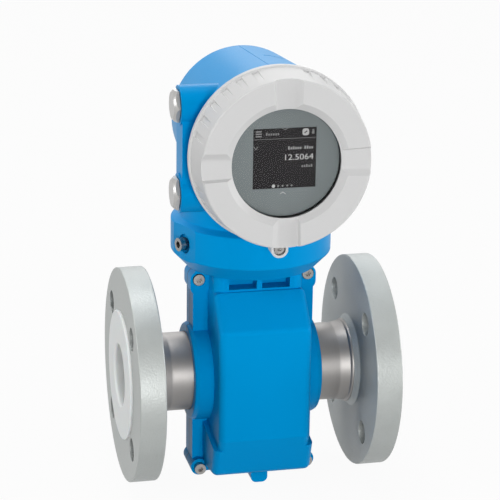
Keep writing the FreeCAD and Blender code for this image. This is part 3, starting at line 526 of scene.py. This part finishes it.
# what the display shows: places are shares of the screen's width from the left and height from the top
screenLow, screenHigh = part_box("display_screen")
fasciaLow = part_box("display_fascia")[0]
markValues = {
    "thickness": 0.00006,
    "corner": 0.3,              # share of a mark's smaller side
    "cornerSteps": 2,
    "discSides": 20,
    "smallDiscSides": 12,
    "bright": (0.38, 0.38, 0.375, 1),
    "text": (0.27, 0.27, 0.27, 1),
    "plain": (0.17, 0.17, 0.17, 1),
    "dim": (0.05, 0.05, 0.05, 1),
}


def onScreen(across, down, front=screenLow[1]):
    width = screenHigh[0] - screenLow[0]
    height = screenHigh[2] - screenLow[2]
    return Vector((screenLow[0] + across * width, front, screenHigh[2] - down * height))


def addBar(build, low, high, lean=0.0):
    # A thin plate with rounded corners between two corner points, leaned clockwise by lean degrees.
    middle = (low + high) / 2
    size = high - low
    made = bmesh.ops.create_grid(build, x_segments=1, y_segments=1, size=0.5)["verts"]
    bmesh.ops.scale(build, verts=made, vec=(abs(size.x), abs(size.z), 1))
    corner = markValues["corner"] * min(abs(size.x), abs(size.z))
    rounded = bmesh.ops.bevel(build, geom=made, offset=corner, profile=0.5,
                              segments=markValues["cornerSteps"], affect="VERTICES", material=-1)
    thicken(build, rounded["faces"] + [face for vert in rounded["verts"] for face in vert.link_faces],
            middle, lean)


def addDisc(build, middle, radius, sides=markValues["discSides"]):
    made = bmesh.ops.create_circle(build, cap_ends=True, segments=sides, radius=radius)["verts"]
    thicken(build, [face for vert in made for face in vert.link_faces], middle, 0.0)


def thicken(build, faces, middle, lean):
    # Turn a flat shape from the XY plane to face the front, and give it its thickness.
    faces = list(dict.fromkeys(faces))
    verts = list(dict.fromkeys(vert for face in faces for vert in face.verts))
    turn = Matrix.Rotation(math.radians(90), 3, "X") @ Matrix.Rotation(-math.radians(lean), 3, "Z")
    bmesh.ops.rotate(build, verts=verts, cent=(0, 0, 0), matrix=turn)
    bmesh.ops.translate(build, verts=verts, vec=middle)
    grown = bmesh.ops.extrude_face_region(build, geom=faces, use_keep_orig=True)["geom"]
    front = [item for item in grown if isinstance(item, bmesh.types.BMVert)]
    bmesh.ops.translate(build, verts=front, vec=(0, -markValues["thickness"], 0))


def putInOrder(items, placeOf):
    # A fixed order of points or faces, so that every run gives the same mesh.
    ordered = sorted(items, key=lambda item: tuple(round(value, 7) for value in placeOf(item)))
    for index, item in enumerate(ordered):
        item.index = index
    items.sort()


def finishMarks(build, name, colour):
    putInOrder(build.verts, lambda vert: vert.co)
    putInOrder(build.faces, lambda face: face.calc_center_median())
    bmesh.ops.recalc_face_normals(build, faces=build.faces)
    mesh = bpy.data.meshes.new(name)
    build.to_mesh(mesh)
    build.free()
    piece = bpy.data.objects.new(name, mesh)
    scene.collection.objects.link(piece)
    mesh.materials.append(makeFinish(name + "Ink", mouldGroup, {
        "Colour": colour, "Grain Scale": 3000.0, "Mottle": 0.05, "Roughness": 0.6},
        bump=0.02, Specular_IOR_Level=0.1))
    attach(piece, "transmitter")
    return piece


menuValues = {
    "left": 0.035, "right": 0.13,
    "rows": (0.045, 0.085, 0.125),
    "thick": 0.022,
    "ink": "plain",
}


def addMenuIcon(values):
    build = bmesh.new()
    for down in values["rows"]:
        half = values["thick"] / 2
        addBar(build, onScreen(values["left"], down + half), onScreen(values["right"], down - half))
    return finishMarks(build, "menuIcon", markValues[values["ink"]])


lockValues = {
    "left": 0.925, "right": 0.965, "top": 0.065, "bottom": 0.115,
    "bow": 0.0007,              # radius
    "bowLift": 0.015,           # share of the screen's height
    "ink": "plain",
}


def addLockMark(values):
    build = bmesh.new()
    addBar(build, onScreen(values["left"], values["bottom"]), onScreen(values["right"], values["top"]))
    middle = onScreen((values["left"] + values["right"]) / 2, values["top"] - values["bowLift"])
    addDisc(build, middle, values["bow"], markValues["smallDiscSides"])
    return finishMarks(build, "lockMark", markValues[values["ink"]])


tileValues = {
    "left": 0.775, "right": 0.88, "top": 0.02, "bottom": 0.135,
    "stroke": 0.055, "strokeHalf": 0.01, "lean": -38.0,
    "ink": "bright", "strokeInk": "dim",
}


def addStatusTile(values):
    # A pale tile with a dark stroke across it.
    build = bmesh.new()
    addBar(build, onScreen(values["left"], values["bottom"]), onScreen(values["right"], values["top"]))
    tile = finishMarks(build, "statusTile", markValues[values["ink"]])
    build = bmesh.new()
    front = screenLow[1] - markValues["thickness"]
    across = (values["left"] + values["right"]) / 2
    down = (values["top"] + values["bottom"]) / 2
    addBar(build, onScreen(across - values["stroke"] / 2, down + values["strokeHalf"], front),
           onScreen(across + values["stroke"] / 2, down - values["strokeHalf"], front),
           lean=values["lean"])
    return tile, finishMarks(build, "statusStroke", markValues[values["strokeInk"]])


ruleValues = {"left": 0.0, "right": 0.995, "down": 0.175, "thick": 0.006, "ink": "plain"}


def addRule(values):
    build = bmesh.new()
    half = values["thick"] / 2
    addBar(build, onScreen(values["left"], values["down"] + half),
           onScreen(values["right"], values["down"] - half))
    return finishMarks(build, "headRule", markValues[values["ink"]])


letterValues = {
    "width": 0.62,              # share of the pitch
    "lowDrop": 0.3,             # how much lower a low letter starts, as a share of the line
}
lineValues = {
    "headLine": {"right": 0.42, "top": 0.065, "tall": 0.05, "pitch": 0.037,
                 "letters": (1, 0, 0, 0, 0, 0), "ink": "plain"},
    "valueLine": {"right": 0.96, "top": 0.305, "tall": 0.055, "pitch": 0.037,
                  "letters": (1, 0, 1, 0, 0, 0, -1, 1, 1, 0, 0), "ink": "text"},
    "unitLine": {"right": 0.955, "top": 0.615, "tall": 0.05, "pitch": 0.037,
                 "letters": (0, 0, 1, 0, 1), "ink": "plain"},
}


def addTextLine(name, values):
    # Small plates of two heights stand for a line of words; -1 leaves a space.
    build = bmesh.new()
    count = len(values["letters"])
    pitch = values["pitch"]
    for index, tall in enumerate(values["letters"]):
        if tall < 0:
            continue
        left = values["right"] - pitch * (count - index)
        top = values["top"] + (0.0 if tall else letterValues["lowDrop"] * values["tall"])
        addBar(build, onScreen(left, values["top"] + values["tall"]),
               onScreen(left + letterValues["width"] * pitch, top))
    return finishMarks(build, name, markValues[values["ink"]])


dotValues = {
    "down": 0.96,
    "places": (0.33, 0.405, 0.475, 0.55, 0.62),
    "first": 0.0012,            # radius
    "others": 0.0007,
    "firstInk": "bright", "ink": "plain",
}


def addPageDots(values):
    build = bmesh.new()
    addDisc(build, onScreen(values["places"][0], values["down"]), values["first"])
    first = finishMarks(build, "pageDotNow", markValues[values["firstInk"]])
    build = bmesh.new()
    for across in values["places"][1:]:
        addDisc(build, onScreen(across, values["down"]), values["others"], markValues["smallDiscSides"])
    return first, finishMarks(build, "pageDots", markValues[values["ink"]])


strokeValues = {
    "thick": 0.00022,           # half the width of a chevron's stroke
    "meet": 0.85,               # under 1 makes the two strokes overlap at the point
}
chevronValues = {
    "pullMark": {"place": onScreen(0.5, 0.03), "half": 0.0015, "rise": -32.0, "ink": "plain"},
    "sideMark": {"place": onScreen(0.042, 0.34), "half": 0.0015, "rise": -55.0, "ink": "plain"},
    "scrollMark": {"place": onScreen(0.48, 1.065, fasciaLow[1]), "half": 0.0014, "rise": 35.0,
                   "ink": "bright"},
}


def addChevron(name, values):
    # Two short strokes that meet in a point, upwards for a positive rise.
    build = bmesh.new()
    angle = math.radians(values["rise"])
    reach = Vector((values["half"] * math.cos(angle), 0, values["half"] * math.sin(angle)))
    reach *= strokeValues["meet"]
    for side in (-1, 1):
        middle = values["place"] + Vector((side * reach.x, 0, -reach.z))
        corner = Vector((values["half"], 0, strokeValues["thick"]))
        addBar(build, middle - corner, middle + corner, lean=side * values["rise"])
    return finishMarks(build, name, markValues[values["ink"]])


numberValues = {
    "text": "12.5064",
    "right": 0.957, "top": 0.44, "bottom": 0.535, "width": 0.45,
    "weld": 0.00001,            # points closer than this become one, before the figures are scaled
    "ink": "bright",
}


def addNumber(values):
    # The reading, as plain figures.
    data = bpy.data.curves.new("reading", "FONT")
    data.body = values["text"]
    data.extrude = markValues["thickness"] / 2
    words = bpy.data.objects.new("reading", data)
    scene.collection.objects.link(words)
    ready = words.evaluated_get(bpy.context.evaluated_depsgraph_get())
    mesh = bpy.data.meshes.new_from_object(ready)
    bpy.data.objects.remove(words)
    build = bmesh.new()
    build.from_mesh(mesh)
    bmesh.ops.remove_doubles(build, verts=build.verts, dist=values["weld"])
    low = onScreen(values["right"] - values["width"], values["bottom"])
    high = onScreen(values["right"], values["top"])
    spanX = [vert.co.x for vert in build.verts]
    spanY = [vert.co.y for vert in build.verts]
    scaleX = (high.x - low.x) / (max(spanX) - min(spanX))
    scaleY = (high.z - low.z) / (max(spanY) - min(spanY))
    bmesh.ops.translate(build, verts=build.verts, vec=(-min(spanX), -min(spanY), 0))
    bmesh.ops.scale(build, verts=build.verts, vec=(scaleX, scaleY, 1))
    bmesh.ops.rotate(build, verts=build.verts, cent=(0, 0, 0),
                     matrix=Matrix.Rotation(math.radians(90), 3, "X"))
    bmesh.ops.translate(build, verts=build.verts, vec=low - Vector((0, markValues["thickness"] / 2, 0)))
    return finishMarks(build, "reading", markValues[values["ink"]])


addMenuIcon(menuValues)
addLockMark(lockValues)
addStatusTile(tileValues)
addRule(ruleValues)
for lineName, lineSet in lineValues.items():
    addTextLine(lineName, lineSet)
addPageDots(dotValues)
for chevronName, chevronSet in chevronValues.items():
    addChevron(chevronName, chevronSet)
addNumber(numberValues)
print("stage 5: display marks made")
